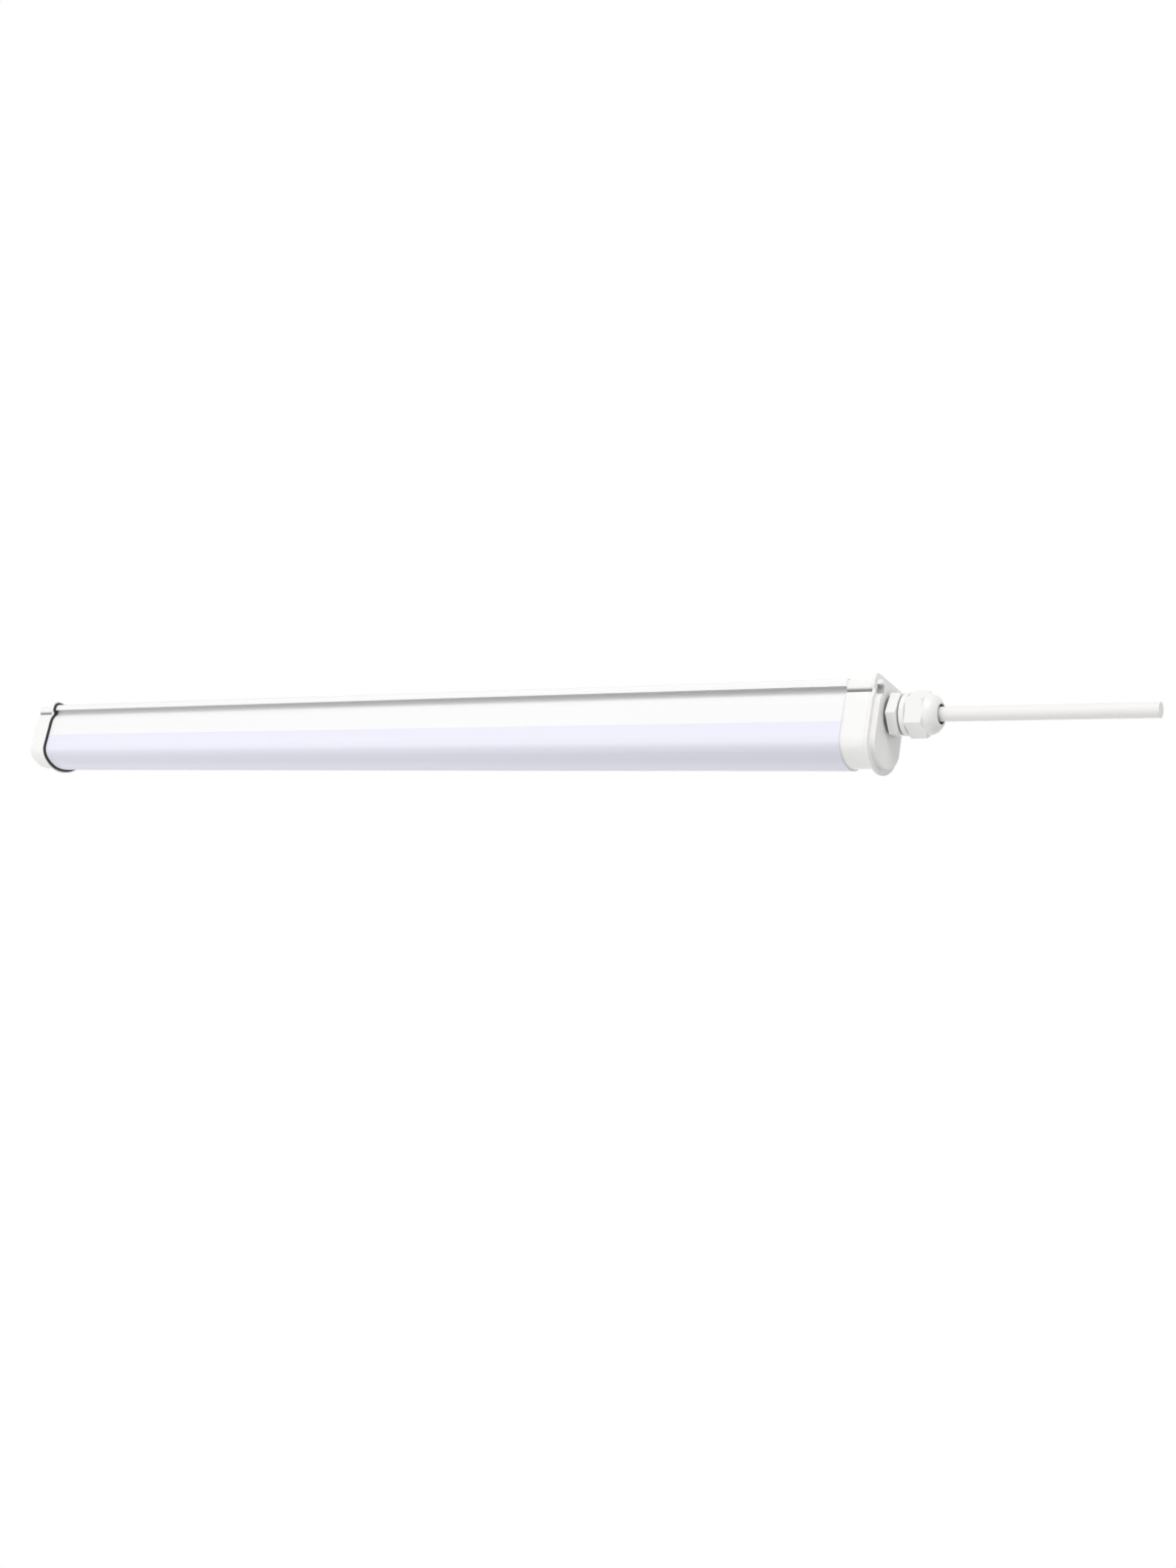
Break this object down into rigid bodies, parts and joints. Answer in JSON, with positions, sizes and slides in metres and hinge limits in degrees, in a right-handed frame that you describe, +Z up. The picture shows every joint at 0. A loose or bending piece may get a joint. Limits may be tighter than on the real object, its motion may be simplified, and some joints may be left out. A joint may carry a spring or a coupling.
{
  "type": "vapor tight light fixture",
  "caption": "Slim linear vapor tight light: white T-railed housing, frosted diffuser, flanged sealed end caps, and a cable gland with a domed nut that turns to clamp a short white cable.",
  "frame": {"origin": "middle of the flat top of the rail, halfway along the light", "axes": "+X along the light towards the cable, +Z up out of the rail's top, +Y across"},
  "size_m": [0.72, 0.0338, 0.0439],
  "materials": {
    "white_shell": "smooth white extruded polycarbonate",
    "frosted_diffuser": "frosted polycarbonate with a pale lavender cast",
    "white_cap": "smooth white moulded polycarbonate",
    "black_rubber": "matt black rubber",
    "tray_aluminium": "mill finish sheet",
    "white_board": "white solder mask",
    "led_phosphor": "yellow phosphor gel",
    "screw_steel": "zinc plated steel",
    "driver_plastic": "white flame retardant plastic",
    "green_board": "green circuit board",
    "dark_plastic": "dark component bodies",
    "terminal_plastic": "natural nylon",
    "brown_insulation": "brown insulation",
    "blue_insulation": "blue insulation",
    "green_insulation": "green insulation",
    "red_insulation": "red insulation",
    "tag_brass": "plain brass",
    "gland_nylon": "smooth white nylon",
    "cable_sheath": "white sheath"
  },
  "bodies": {
    "fixture": {"housing": "white_shell", "diffuser": "frosted_diffuser", "cable_end_cap": "white_cap", "blind_end_cap": "white_cap", "cable_end_seal": "black_rubber", "blind_end_gasket": "black_rubber", "led_tray": "tray_aluminium", "led_board": "white_board", "led_chips": "led_phosphor", "board_screws": "screw_steel", "driver_case": "driver_plastic", "driver_lid": "driver_plastic", "driver_board": "green_board", "driver_transformer": "dark_plastic", "driver_capacitors": "dark_plastic", "driver_choke": "dark_plastic", "driver_screws": "screw_steel", "terminal_block": "terminal_plastic", "terminal_screws": "screw_steel", "live_wire": "brown_insulation", "neutral_wire": "blue_insulation", "earth_wire": "green_insulation", "live_lead": "brown_insulation", "neutral_lead": "blue_insulation", "earth_lead": "green_insulation", "positive_lead": "red_insulation", "negative_lead": "black_rubber", "earth_tag": "tag_brass", "earth_screw": "screw_steel", "gland_gasket": "black_rubber", "gland_locknut": "gland_nylon", "gland_body": "gland_nylon", "gland_seal": "black_rubber", "cable_tail": "cable_sheath", "supply_cable": "cable_sheath"},
    "clamp": {"gland_claw": "gland_nylon"},
    "nut": {"gland_nut": "gland_nylon"}
  },
  "joints": [
    {"name": "clamp_slide", "type": "slide", "parent": "fixture", "child": "clamp", "axis": [1, 0, 0], "range_m": [0, 0.00375]},
    {"name": "nut_turn", "type": "hinge", "parent": "clamp", "child": "nut", "pos_m": [0.3103, 0, -0.0136], "axis": [1, 0, 0], "range_deg": [0, 900]}
  ],
  "couplings": [
    {"joint": "clamp_slide", "follows": "nut_turn", "m_per_rad": 0.00023873}
  ]
}
